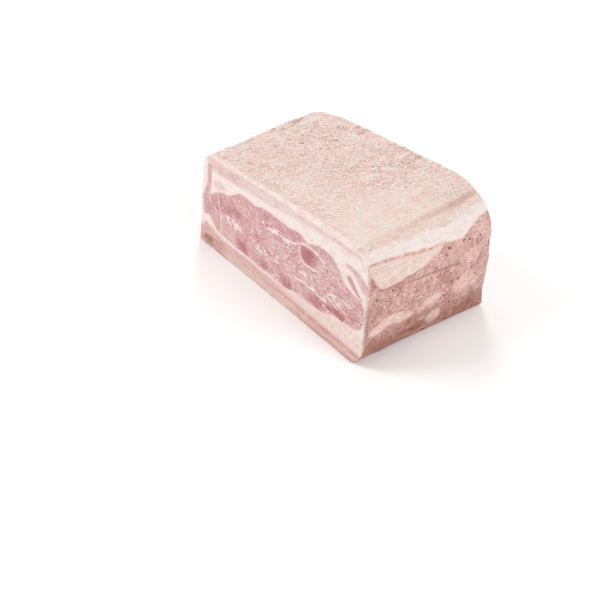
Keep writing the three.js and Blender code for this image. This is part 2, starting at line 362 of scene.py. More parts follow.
# The lower strip of the cut faces, in the same way
STRIP_LEFT, STRIP_FAR_LEFT, STRIP_RIGHT = (42, 26), (34, 22), (95, 145)
STRIP_PALE_BELOW, STRIP_DEEP_BELOW, STRIP_FOOT = (8.8, 7.6), (12, 9), (6, 0)
STRIP_LEFT_ROSE = (0.3, 0.6)  # above and below
STRIP_RIGHT_ROSE = (0.06, 0.51)
STRIP_FLECKS, STRIP_DRY = 0.5, 0.85
STRIP_CREAM = (0.4, 1)  # of its pink and its pale part
STRIP_WANDER, STRIP_SPACING = 0.5, 1.5
STRIP_DRAWN_OUT = np.array([0.15, 1, 1])
STREAK_UP, STREAK_HALF = (9.4, 7.6), 0.9  # a thin streak along it
STREAK_STARTS, STREAK_FALLS, STREAK_BROWNS = (50, 75), (100, 172), (105, 135)
STREAK_ROSE, STREAK_BROWN = 0.8, 0.15

# Lines of the right end, as (y, z)
BAND_FOOT = [
    (-4, 80), (10, 77.5), (20, 75), (40, 70.3), (60, 67), (70, 64.3), (76, 64), (84, 67.3), (92, 70.3),
    (112, 74),
]
FAT_LENS = [
    (2.5, 77.3), (20, 72.8), (40, 68.4), (59, 65.6), (54, 61.5), (47, 58.5), (38, 55.6), (22, 55.2),
    (13, 56), (8, 61), (3, 70),
]
END_LINES = [  # cracks and thin shadows, as lines and how faint each is
    ([(10, 56.5), (16, 54.8), (24, 54.2), (34, 54.6), (42, 56.2)], -0.1),
    ([(21, 53), (30, 51.5), (40, 50)], 0.2),
    ([(40, 50), (52, 48.6), (64, 46.8), (77, 45.3)], -0.1),
    ([(97, 52), (96, 46), (94, 40), (93, 34)], 0.1),
    ([(60, 78.5), (66, 77.6), (72, 78.4)], 0.45),
    ([(84, 79.5), (87, 77.6), (91, 76.5)], 0.45),
]
END_FAT_SPOTS = [
    ((11, 26.5), (9, 3.6), 1.0), ((22, 29.5), (10, 3.6), 1.0), ((33, 25.5), (8, 2.8), 0.8),
    ((56, 28.5), (8, 3), 1.0), ((57.5, 15), (6.5, 4.5), 1.8),
]
END_TONES = [
    ((84, 29), (11.5, 7.5), -0.5), ((88, 47), (10, 7), -0.25), ((8, 43), (6, 7), 0.12),
    ((30, 45), (9, 5), -0.12), ((66, 40), (7, 6), 0.15), ((77, 55), (8, 5), 0.1), ((5, 62), (5, 9), 0.2),
    ((46, 41), (6, 5), 0.1),
]
END_BROWN = [
    ((44, 13), (9, 4), 0.3), ((45, 21), (18, 3.5), 0.25), ((1, 34), (3, 14), 0.3),
    ((20, 14), (16, 5), 0.15), ((88, 11), (16, 8), 0.2),
]
END_PITS = [(65, 61.5), (83, 60), (92, 59), (56, 51), (101, 51), (71, 35), (88, 38), (21, 51), (8, 50)]
LARGE_PIT = 1.2

# The right end, in the same way
END_SWAY = (0.8, 5.5)
END_ROUGH = 0.5
END_RELIEF = 2  # times that of the cut faces
END_ROSE, END_ROSE_WANDER, END_SPACING = 0.53, 0.09, 8.0
END_FLECKS = 0.1
END_SEED, END_COUNT, END_PITS_KEPT = 5, 100, (0.4, 0.9)
END_PITS_FROM, END_PITS_UP_TO, PITS_IN_LEAN = (15, 40), 66, (0.3, -0.6)
END_FAT_STEP, END_FAT_SMOOTH = (-1.5, 1.5), (0.8, -0.8)
FRONT_RIM = 1.1  # width of the pale edge toward the front
PATCH_FAT = (-0.8, 0.6)  # outside and in the middle
PATCH_CREAM, PATCH_PALER = 0.3, 0.45
SEAM_CLOSES, SEAM_FAINT, SEAM_SHALLOW = (38, 66), (0.5, 3.5), 0.6
SEAM_WANDER, SEAM_SPACING = 0.9, 3.0
# Painted shade: the right end grows darker and browner toward its foot and its front, with a painted warm
# reflection from beneath; the fat patches take less of it
END_DARKENS, UPPER_PAINTED_SHADE = (58, 44), 0.1
END_SHADE_BELOW, LOWER_PAINTED_SHADE = (28, 8), 0.54
FOOT_SHADE_BELOW, FOOT_PAINTED_SHADE = (8, 1), 0.25
SHADE_BACKWARD = (1.05, 0.75)
BAND_CREAM, RIM_CREAM = 0.16, 0.4
BAND_RIM_UP, BAND_RIM_BACK = (76, 84), (25, 65)
BELOW_BAND, BELOW_BAND_CREAM = (0.5, -0.5), 0.4
CREAM_IN_FAT = (-0.7, 0)

# The left end, in the same way
LEFT_SECTION = 7.0  # it shows the layers that lie this far into the front
LEFT_WANDER, LEFT_SPACING = 5, 30.0
LEFT_END_FLECKS, LEFT_END_CREAM, LEFT_END_BROWN, LEFT_END_DRY = 0.4, 0.4, 0.5, 0.7

# The back, in the same way
BACK_DRIFT, BACK_SPACING = 5.0, 45.0

# The skin, as (x, y)
TOP_STAINS = [
    ((43, 90), (5, 4), 0.35), ((98, 77), (5, 4), 0.35), ((87, 54), (3, 6), 0.4), ((40, 38), (3, 6), 0.35),
    ((22, 66), (3, 4), 0.45), ((157, 61), (5, 4), 0.3), ((62, 102), (6, 4), 0.3),
    ((127, 87), (4, 2.5), 0.4), ((76, 33), (2.5, 5), 0.35), ((12, 62), (2.5, 6), 0.5),
    ((180, 84), (5, 16), 0.3), ((55, 8), (22, 6), 0.12),
]
TOP_FOLD = [(8.5, 84), (9.5, 76), (12, 69), (13.5, 62)]
TOP_CREAM = [((154, 30), (30, 42), 0.62), ((100, 26), (34, 24), 0.35), ((13, 55), (6, 70), 0.6)]
TOP_GROOVES = [(11, 1.8), (177, 2.2)]  # places along x and half widths
GROOVE_DEEP = 0.7
GRAIN_LONG = 2.2  # times as long as wide
SKIN_EDGE = (3.4, 4.9)  # from the front and back edges
SKIN_EDGE_WANDER, SKIN_EDGE_SPACING = 1.8, 4.5
SKIN_END = (184, 180)
SKIN_END_WANDER, SKIN_END_SPACING = 1.5, 5.0
SKIN_SEED, SKIN_COUNT, SKIN_PITS_KEPT = 3, 130, 0.7
SKIN_PITS_BACK, SKIN_PITS_LEFT = (20, 60), (150, 110)
UNDER_SKIN_FAT, UNDER_SKIN_ROSE = 6.0, 0.4
BARE_CREAM, BARE_DRY, BARE_RELIEF = 0.48, 0.5, (0.3, 1.0)  # where the skin is worn off
# FOLD_SHADE widens the painted shade along the skin's fold
FOLD_SHADE = 0.3
CREASE_TAN, CREASE_TAN_BACKWARD = 0.3, (0.7, 1.2)
CREASE_TAN_FROM, CREASE_TAN_TO = (171, 175), (183, 179)
WRINKLE_WANDER, WRINKLE_SPACING = 12, 25.0
WRINKLE_BACK, WRINKLE_LEFT, WRINKLE_RIGHT = (15, 75), (100, 50), (170, 110)
WRINKLE_LEFT_SHARE = 0.6
CREAM_WANDER, CREAM_SPACING = 0.25, 16.0
CREASE_CREAM_FROM, CREASE_CREAM = (166, 171), 0.4
SHOULDER_FROM, SHOULDER_BACKWARD, SHOULDER_CREAM = (177, 181), (10, 50), (0.4, 0.75)

# Pits
PIT_MARGIN = 2
PIT_SIZES, PIT_DEPTHS = (0.9, 1.6), (0.35, 1.0)
PIT_SLOPE = (1.3, 0.2)


def scattered_pits(seed, count, across, up, thinner):
    """Centres, sizes and depths of small pits, thinned out by a rule."""
    dice = np.random.default_rng(seed)
    low = (PIT_MARGIN, PIT_MARGIN)
    spots = dice.uniform(low, (across - PIT_MARGIN, up - PIT_MARGIN), (count, 2))
    sizes = dice.uniform(*PIT_SIZES, count)
    deep = dice.uniform(*PIT_DEPTHS, count)
    kept = dice.uniform(0, 1, count) < thinner(spots)
    return spots[kept], sizes[kept], deep[kept]


def pitted(spots, pits):
    """How deep each spot lies in the nearest pit, from 0 to 1."""
    depth = np.zeros(len(spots))
    for centre, size, deep in zip(*pits):
        out = np.linalg.norm(spots - centre, axis=1) / size
        depth = np.maximum(depth, deep * ease(*PIT_SLOPE, out))
    return depth


def nearest_line(lines, spots):
    """Distance of each spot from the nearest of some drawn lines, farther for the fainter ones."""
    nearest = np.full(len(spots), NONE_NEAR)
    for line, faint in lines:
        nearest = np.minimum(nearest, distance(smooth_line(line), spots) + faint)
    return nearest


def bell(value, middle, half):
    """1 at the middle, dying away over a few half widths on both sides."""
    return np.exp(-((value - middle) / half) ** 2)


def lower_strip(x, z, places):
    """Shares of the lower strip's pale foot and thin streak, and how deep its rose is."""
    leftward = ease(*STRIP_LEFT, x)
    rightward = ease(*STRIP_RIGHT, x)
    foot = ease(*STRIP_PALE_BELOW, z) * (1 - leftward) * (1 - rightward)
    streak = bell(z, mix(*STREAK_UP, ease(*STREAK_FALLS, x)), STREAK_HALF) * ease(*STREAK_STARTS, x)
    upper, lower = STRIP_LEFT_ROSE
    left_rose = mix(upper * ease(*STRIP_FAR_LEFT, x), lower, ease(*STRIP_DEEP_BELOW, z))
    right_rose = mix(*STRIP_RIGHT_ROSE, ease(*STRIP_FOOT, z))
    rose = leftward * left_rose + rightward * right_rose
    rose += STREAK_ROSE * streak + STRIP_WANDER * crag(places * STRIP_DRAWN_OUT, STRIP_SPACING)
    return foot, streak, rose


def paint_cut(spots, places):
    """Layers of lean and fat, as they show on a cut."""
    spots = swayed(spots, places, *CUT_SWAY)
    x, z = spots.T
    layers = {}
    for name in LAYER_TONES:
        inside = inside_by(MUSCLES[name], spots) if name in MUSCLES else strip(*STREAKS[name], spots)
        layers[name] = LAYER_FIRM.get(name, 1) * inside
    depths = np.stack(list(layers.values()))
    tones = np.array(list(LAYER_TONES.values()))
    fat = -depths.max(axis=0)
    vein = np.full(len(spots), -NONE_NEAR)
    for line, half in VEINS:
        vein = np.maximum(vein, strip(line, (half, half), spots))
    in_main = ease(*MAIN_EDGE, layers["main"])
    in_lower = ease(*SOFT_EDGE, layers["lower"])
    in_oval = ease(*OVAL_EDGE, inside_by(OVAL, spots)) * ease(*OVAL_FADE, x)
    dry_left = ease(*SOFT_EDGE, layers["left"]) * ease(*LEFT_DRY_BELOW, z)
    foot, streak, strip_rose = lower_strip(x, z, places)
    rose = tones[depths.argmax(axis=0)] + blots(ROSE_SPOTS, spots)
    coarse = mix(*COARSENESS_ALONG, ease(*COARSER_ALONG, x)) + blots(FLECK_SPOTS, spots)
    right_cream = RIGHT_CREAM * ease(*RIGHT_CREAM_FROM, x) * ease(*RIGHT_CREAM_BELOW, z)
    left_cream = LEFT_CREAM * ease(*LEFT_CREAM_FROM, x) * ease(*LEFT_CREAM_BELOW, z)
    cream = (right_cream + left_cream) * (1 - in_main)
    rough = LEAN_ROUGH * in_main * crag(places, LEAN_SPACING)
    return {
        "fat": fat,
        "vein": vein,
        "rose": rose + OVAL_ROSE * in_oval + strip_rose * in_lower,
        "fleck": in_main * coarse + STRIP_FLECKS * in_lower,
        "cream": mix(cream, mix(*STRIP_CREAM, foot), in_lower),
        "weather": STRIP_DRY * in_lower + LEFT_DRY * dry_left,
        "brown_and_shade": blots(CUT_BROWN, spots) + STREAK_BROWN * streak * ease(*STREAK_BROWNS, x),
        "crease": nearest_line(CUT_LINES, spots),
        "relief": FAT_PROUD * (ease(*FAT_STEP, fat) - 0.5) + rough,
    }


def paint_front(places):
    """The layers, straight on the front."""
    return paint_cut(places[:, (0, 2)], places)


def paint_back(places):
    """The same layers where they come out at the back, wandered off a little on their way."""
    return paint_cut(swayed(places[:, (0, 2)], places, BACK_DRIFT, BACK_SPACING), places)


def end_roughness(places):
    """Crags and grit of the two ends."""
    return END_ROUGH * crag(places, CRAG_SPACING) + GRIT_HIGH * crag(places, GRIT_SPACING)


def paint_left(places):
    """The layers at the front's left edge, run along the left end."""
    wander = LEFT_SECTION + LEFT_WANDER * crag(places, LEFT_SPACING)
    tissue = paint_cut(np.stack([wander, places[:, 2]], axis=1), places)
    tissue["fleck"] = LEFT_END_FLECKS
    tissue["cream"] *= LEFT_END_CREAM
    tissue["brown_and_shade"] *= LEFT_END_BROWN
    tissue["weather"] = LEFT_END_DRY
    tissue["relief"] = END_RELIEF * tissue["relief"] + end_roughness(places)
    return tissue


def paint_right(places):
    """Fat band, fat lens and cracked lean."""
    spots = swayed(places[:, 1:], places, *END_SWAY)
    y, z = spots.T
    seam_line = smooth_line(BAND_FOOT)
    band = z - np.interp(y, seam_line[:, 0], seam_line[:, 1])
    lens = inside_by(FAT_LENS, spots)
    patches = blots(END_FAT_SPOTS, spots)
    fat = np.max([band, lens, mix(*PATCH_FAT, patches), FRONT_RIM - places[:, 1]], axis=0)
    small = scattered_pits(END_SEED, END_COUNT, DEPTH, END_PITS_UP_TO,
                           lambda spots: mix(*END_PITS_KEPT, ease(*END_PITS_FROM, spots[:, 1])))
    count = len(END_PITS)
    large = (np.array(END_PITS, float), np.full(count, LARGE_PIT), np.ones(count))
    pits = [np.concatenate(pair) for pair in zip(small, large)]
    pit = pitted(spots, pits) * ease(*PITS_IN_LEAN, fat)
    # Painted shade along cracks, creases and under the lens, later joined with the seam's own line
    crease = nearest_line(END_LINES, spots)
    seam = np.abs(band) + mix(*SEAM_FAINT, ease(*SEAM_CLOSES, y))
    seam += SEAM_WANDER * crag(places, SEAM_SPACING)
    grooves = CREASE_DEEP * (bell(crease, 0, CREASE_WIDE) + SEAM_SHALLOW * bell(seam, 0, CREASE_WIDE))
    # Painted shade and a painted warm reflection, growing toward the foot and the front, with a few brown
    # blots, less on the fat patches
    brown_and_shade = UPPER_PAINTED_SHADE * ease(*END_DARKENS, z) + LOWER_PAINTED_SHADE * ease(*END_SHADE_BELOW, z)
    brown_and_shade = mix(*SHADE_BACKWARD, y / DEPTH) * brown_and_shade + blots(END_BROWN, spots)
    brown_and_shade = (brown_and_shade + FOOT_PAINTED_SHADE * ease(*FOOT_SHADE_BELOW, z)) * (1 - PATCH_PALER * np.clip(patches, 0, 1))
    cream = BAND_CREAM + RIM_CREAM * ease(*BAND_RIM_UP, z) * ease(*BAND_RIM_BACK, y)
    cream += BELOW_BAND_CREAM * ease(*BELOW_BAND, band) + PATCH_CREAM * patches
    rough = end_roughness(places) * ease(*END_FAT_SMOOTH, fat)
    proud = END_RELIEF * FAT_PROUD * (ease(*END_FAT_STEP, fat) - 0.5)
    return {
        "fat": fat,
        "vein": -NONE_NEAR,
        "rose": END_ROSE + END_ROSE_WANDER * crag(places, END_SPACING) + blots(END_TONES, spots),
        "fleck": END_FLECKS,
        "cream": np.clip(cream, 0, 1) * ease(*CREAM_IN_FAT, fat),
        "weather": 1.0,
        "brown_and_shade": np.clip(brown_and_shade, 0, 1),
        "pit": pit,
        "crease": np.minimum(crease, seam),
        "relief": proud + rough - grooves - PIT_DEEP * pit,
    }


def skin_roughness(places, fold_mark):
    """Crags, drawn-out grit, dust and the fold of the skin."""
    x, y, z = places.T
    along, across = SKIN_GRAIN
    grain = np.stack([(along * x + across * y) / GRAIN_LONG, across * x - along * y, z], axis=1)
    rough = CRAG_HIGH * crag(places, CRAG_SPACING) + GRIT_HIGH * crag(grain, GRIT_SPACING)
    rough += DUST_HIGH * crag(places, DUST_SPACING)
    return rough - WRINKLE_DEEP * bell(fold_mark, 0, CREASE_WIDE)


def skin_pits_kept(spots):
    """Share of the skin's pits that are kept: most of them toward the back left."""
    x, y = spots.T
    return SKIN_PITS_KEPT * ease(*SKIN_PITS_BACK, y) * ease(*SKIN_PITS_LEFT, x)


def paint_skin(places):
    """Rough pink skin of the top and the foot."""
    spots = places[:, :2]
    x, y = spots.T
    pits = scattered_pits(SKIN_SEED, SKIN_COUNT, WIDTH, DEPTH, skin_pits_kept)
    pit = pitted(spots, pits)
    fold_mark = distance(smooth_line(TOP_FOLD), spots)
    rough = skin_roughness(places, fold_mark)
    grooves = sum(GROOVE_DEEP * bell(x, at, half) for at, half in TOP_GROOVES)
    edge = np.minimum(y, DEPTH - y) + SKIN_EDGE_WANDER * crag(places, SKIN_EDGE_SPACING)
    end = x + SKIN_END_WANDER * crag(places, SKIN_END_SPACING)
    skin = ease(*SKIN_EDGE, edge) * ease(*SKIN_END, end)
    bare = 1 - skin
    brown_and_shade = CREASE_TAN * ease(*CREASE_TAN_FROM, x) * ease(*CREASE_TAN_TO, x)
    brown_and_shade = brown_and_shade * mix(*CREASE_TAN_BACKWARD, y / DEPTH) + blots(TOP_STAINS, spots)
    wander = WRINKLE_WANDER * crag(places, WRINKLE_SPACING)
    leftward = WRINKLE_LEFT_SHARE * ease(*WRINKLE_LEFT, x + wander)
    wrinkly = np.maximum(ease(*WRINKLE_BACK, y + wander), leftward)
    cream = blots(TOP_CREAM, spots) + CREAM_WANDER * crag(places, CREAM_SPACING)
    cream = mix(cream + CREASE_CREAM * ease(*CREASE_CREAM_FROM, x), BARE_CREAM, bare)
    cream = mix(cream, mix(*SHOULDER_CREAM, ease(*SHOULDER_BACKWARD, y)), ease(*SHOULDER_FROM, x))
    return {
        "fat": UNDER_SKIN_FAT,
        "vein": -NONE_NEAR,
        "rose": UNDER_SKIN_ROSE,
        "fleck": wrinkly * ease(*WRINKLE_RIGHT, x + wander),
        "cream": np.clip(cream, 0, 1),
        "skin": skin,
        "weather": BARE_DRY * bare,
        "brown_and_shade": np.clip(brown_and_shade, 0, 1),
        "pit": pit * skin,
        # Painted shade along the skin's fold, none where the skin is worn off
        "crease": fold_mark - FOLD_SHADE + NONE_NEAR * bare,
        "relief": (rough - PIT_DEEP * pit) * mix(*BARE_RELIEF, skin) - grooves,
    }


TISSUE = ("fat", "vein", "rose", "fleck", "cream", "skin", "weather", "brown_and_shade", "pit", "crease", "relief")


def make_slab():
    """The slab's mesh, with its tissue stored on its points for the material."""
    steps, places, cells, charts = lattice()
    last = np.array(CELLS)
    field = {name: np.zeros(len(places)) for name in TISSUE}
    faces = [
        (steps[:, 2] == 0, paint_skin), (steps[:, 2] == last[2], paint_skin),
        (steps[:, 1] == last[1], paint_back), (steps[:, 1] == 0, paint_front),
        (steps[:, 0] == 0, paint_left), (steps[:, 0] == last[0], paint_right),
    ]
    for here, paint_face in faces:
        for name in TISSUE:
            field[name][here] = 0
        for name, values in paint_face(places[here]).items():
            field[name][here] = values
    to_edge = np.sort(np.minimum(places, BLOCK - places), axis=1)[:, 1]
    relief = field["relief"] * ease(0, EDGE_FADE, to_edge)
    relief[steps[:, 2] == 0] = 0
    points = (pulled(rounded_off(places, relief), places[:, 2]) - MIDDLE) * MILLIMETRE
    points[:, 2] = np.maximum(points[:, 2], 0)
    mesh = bpy.data.meshes.new("bacon_slab")
    mesh.from_pydata(points.tolist(), [], cells.tolist())
    mesh.polygons.foreach_set("use_smooth", np.ones(len(cells), bool))
    for name, values in field.items():
        stored = mesh.attributes.new(name, "FLOAT", "POINT")
        stored.data.foreach_set("value", values.astype(np.float32))
    flesh = mesh.attributes.new("flesh", "FLOAT_VECTOR", "POINT")
    flesh.data.foreach_set("vector", rounded_off(places, 0 * relief).astype(np.float32).ravel())
    lay_out(mesh, places, cells, charts)
    mesh.validate()
    return mesh


def lay_out(mesh, places, cells, charts):
    """One flat chart for each face of the block, side by side."""
    gap = 4.0
    column = WIDTH + gap
    row = TALL + gap
    corners = {
        "front": (0, 0, (0, 2)), "back": (0, row, (0, 2)), "top": (0, 2 * row, (0, 1)),
        "left": (column, 0, (1, 2)), "right": (column, row, (1, 2)), "foot": (column, 2 * row, (0, 1)),
    }
    side = 2 * column
    flat = np.zeros((len(cells), 4, 2))
    for name, (left, low, axes) in corners.items():
        mine = charts == name
        corner = np.array([left + gap / 2, low + gap / 2])
        flat[mine] = (places[cells[mine]][:, :, axes] + corner) / side
    mesh.uv_layers.new(name="OFBake").data.foreach_set("uv", flat.astype(np.float32).ravel())


# The material


def paint(red, green, blue):
    """A colour as seen on screen, turned to the linear light that the renderer takes."""
    shown = np.array([red, green, blue]) / 255
    linear = np.where(shown <= 0.04045, shown / 12.92, ((shown + 0.055) / 1.055) ** 2.4)
    return (*map(float, linear), 1.0)


FAT_WHITE = paint(249, 239, 235)
FAT_CREAM = paint(229, 196, 180)
FAT_PINK = paint(245, 212, 206)
LEAN_PALE = paint(236, 214, 211)
LEAN_MID = paint(219, 171, 171)
LEAN_DEEP = paint(186, 112, 117)
END_PALE = paint(244, 208, 195)
END_MID = paint(212, 165, 158)
END_DEEP = paint(170, 115, 111)
STRIP_PINK = paint(250, 196, 186)
STRIP_PALE = paint(255, 226, 214)
FLECK = paint(255, 238, 233)
# Pale granules, partly painted highlights of the moist surface
GRANULE_AND_GLINT = paint(246, 214, 204)
SKIN_PINK = paint(243, 206, 197)
SKIN_CREAM = paint(242, 223, 212)
# Rose of the skin's low grains and wrinkle troughs, partly its own speckle and partly painted shade
SKIN_ROSE_AND_SHADE = paint(216, 167, 157)
# Pale specks of the skin, its high grains and wrinkle crests: partly painted highlights and painted light
SKIN_SPECK_AND_HIGHLIGHT = paint(255, 248, 242)
SKIN_STAIN = paint(206, 152, 134)
# Dark of pits and pores: painted shade inside small holes
SKIN_PIT_SHADE = paint(168, 110, 101)
PIT_SHADE = paint(118, 68, 60)
# Brown of browned meat and stains, also used for the painted shade and painted warm reflection low on the
# right end
BROWN = paint(142, 78, 46)
# Red rim and dark core along creases and cut lines: painted shade, and on the right end's seam its own
# colour
CREASE_RED = paint(200, 140, 133)
CREASE_SHADE_AND_SEAM = paint(124, 76, 69)

# Textures: how often each varies to a millimetre along each axis, detail and roughness
BROAD = ((0.06,) * 3, 2.0, 0.5)
MIDDLING = ((0.18, 0.18, 0.4), 3.0, 0.6)
FINE = ((0.72, 0.72, 1.6), 3.0, 0.7)
GRIT = ((1.4,) * 3, 3.0, 0.7)
LEAN_FIBRES = ((1.7, 0.4, 0.2), 2.0, 0.5)
CRUMBS = ((0.14,) * 3, 2.0, 0.5)
FAT_STREAKS = ((0.1, 0.1, 0.4), 3.0, 0.5)
FAT_FIBRES = ((1.1, 0.6, 0.15), 2.0, 0.5)
SKIN_PATCHES = ((0.16,) * 3, 2.0, 0.5)
SAND = ((0.408, 1.08, 1.08), 3.0, 0.65)
LULLS = ((0.08,) * 3, 1.0, 0.5)
RIPPLES = ((0.16, 0.55, 0.4), 3.0, 0.6)
BEND_SCALE, BEND_DETAIL, BEND_AMOUNT = 0.2, 2.0, 4.0

# Dots: how many to a millimetre along each axis, least radius, radius added and strength
# GAP_SHADE: painted shade in the gaps between the lean's fibres
GAP_SHADE = ((0.22, 0.22, 0.7), 0.0, 0.4, 0.6)
FLECKS = ((0.13, 0.13, 0.6), 0.06, 0.25, 0.9)
THREADS = ((0.19, 0.3, 0.85), 0.08, 0.31, 0.75)
# GLINTS: light dots, partly pale granules and partly painted highlights of the moist surface
GLINTS = ((0.36, 0.36, 0.5), 0.0, 1.0, 0.9)
# LEAN_PORES: dark dots, painted shade in small holes
LEAN_PORES = ((0.36,) * 3, 0.08, 0.12, 0.75)
FLAKES = ((0.4, 0.2, 0.55), 0.0, 0.36, 0.7)
MARKS = ((0.3, 0.14, 0.5), 0.0, 0.24, 0.55)
SHREDS = ((0.2, 0.2, 0.75), 0.0, 0.2, 0.4)
# SPECKS: pale dots of the skin, partly painted highlights
SPECKS = ((0.4, 0.45, 0.45), 0.0, 0.26, 0.8)
# SKIN_PORES and FAINT_PORES: dark dots, painted shade in small holes
SKIN_PORES = ((0.26, 0.36, 0.3), 0.0, 0.11, 0.8)
FAINT_PORES = ((0.4, 0.55, 0.5), 0.0, 0.16, 0.6)
SMALLEST_DOT = 0.01
DOT_CORE = 0.68  # share of a dot's radius inside which it is full

# Ways that the grains run, as turns about each axis
LEAN_TURN = (-0.38, -0.355, 0)
GAP_TURN = (0, 0, 1.3)
FAT_TURN = (0.2, 0, 0)
SHRED_TURN = (-0.2, -0.1, 0)
SKIN_TURN = (0, 0, -math.atan2(SKIN_GRAIN[1], SKIN_GRAIN[0]))

# Lean: moves of its tone by the textures, ends of its changes, and strengths
THREE_MID, THREE_DEEP = (-0.05, 0.6), (0.5, 1.15)
ROSE_MOVES = {"broad": 0.9}
ROSE_MIDDLE, ROSE_FINE, ROSE_GRIT, ROSE_FIBRES = 1.3, 2.6, 3.6, 0.9
MIDDLE_BY_WEATHER = (1.0, 0.6)
FINE_BY_COARSENESS, COARSENESS = (0.5, 1.1), (0.0, 1.0)
GRIT_BY_CRUMBS, GLINTS_BY_CRUMBS = (0.45, 0.95), (0.1, 0.38)
CRUMBLY = (0.43, 0.57)
LEAN_FIBRES_END = (0.6, 0.0)
TINT_STARTS, TINT_PALES, TINT_STRENGTH = (0.0, 0.4), (0.4, 1.0), 0.5
PORES_OPEN = (0.9, 1.0)
VEIN_MOVES = {"middle": 3.5, "fine": 2.5}
VEIN_EDGE, VEIN_STRENGTH = (0.0, 0.5), 0.85

# Fat, in the same way
CREAM_MOVES = {"middle": 1.4}
CREAM_FINE, CREAM_FIBRES = 1.8, 2.0
FAT_FINE_BY_WEATHER = (1.0, 0.5)
FAT_FIBRES_END = (0.5, 0.0)
FAT_CREAMS = (-0.1, 1.0)
STREAK_EDGE, STREAK_BY_WEATHER = (0.5, 0.66), (0.6, 0.2)
FLAKES_BY_CREAM = (0.05, 1.45)
SHREDS_NEAR = (5.0, 0.0)
PINK_NEAR, PINK_STRENGTH = (3.0, 0.0), 0.35

# Skin, in the same way
SKIN_MOVES = {"broad": 2.2, "grit": 1.6}
PATCH_MOVE = 2.2
SKIN_CREAMS = (-0.7, 1.0)
CALM, BUSY_BY_CALM = (0.05, 1.0), (1.0, 0.35)
# Sand: painted light on the grains that stand high, painted shade on those that sit low, partly the skin's
# own speckle
SAND_LIGHT, SAND_LIGHT_STRENGTH = (0.53, 0.62), 0.9
SAND_DARK, SAND_DARK_STRENGTH = (0.47, 0.38), 0.85
LULL_EDGE, WRINKLES_BY_LULL = (0.42, 0.58), (0.4, 1.4)
WRINKLE_LEAST = 0.12
# Ripples: painted light on the wrinkles' crests and painted shade in their troughs
RIPPLE_LIGHT, RIPPLE_LIGHT_STRENGTH = (0.53, 0.66), 0.6
RIPPLE_DARK, RIPPLE_DARK_STRENGTH = (0.47, 0.34), 0.75
PORES_BY_WRINKLES = 0.6
STAIN_MOVES = {"grit": 1.2}
STAIN_EDGE, STAIN_STRENGTH = (0.1, 0.6), 0.6
SAND_HIGH, SPECK_HIGH, RIPPLE_HIGH = 0.25, 0.375, 2.0

# Edges between the tissues, in the same way
FAT_MOVES, FAT_EDGE = {"middle": 2.8, "fine": 2.2}, (-0.4, 0.4)
BROWN_MOVES, BROWN_STARTS = {"middle": 1.0}, (0.0, 0.15)
CREASE_MOVES = {"grit": 4.0}
CREASE_RIM, CREASE_RIM_BY_SKIN = (1.1, 0.2), (0.5, 0.25)
CREASE_CORE, CREASE_CORE_BY_SKIN = (0.5, -0.1), (0.9, 0.4)
PIT_MOVES, PIT_EDGE, PIT_STRENGTH = {"grit": 0.9}, (0.3, 0.6), 0.9

# Surface of the whole
GRIT_LEAST, GRIT_OF_SKIN, GRIT_OF_WEATHER = 0.35, 0.65, 0.65
BUMP_STRENGTH, BUMP_DISTANCE = 0.7, 0.002
DULL_LEAST, DULL_OF_SKIN, DULL_OF_FINE = 0.36, 0.12, 0.2
GLOSS = 0.35


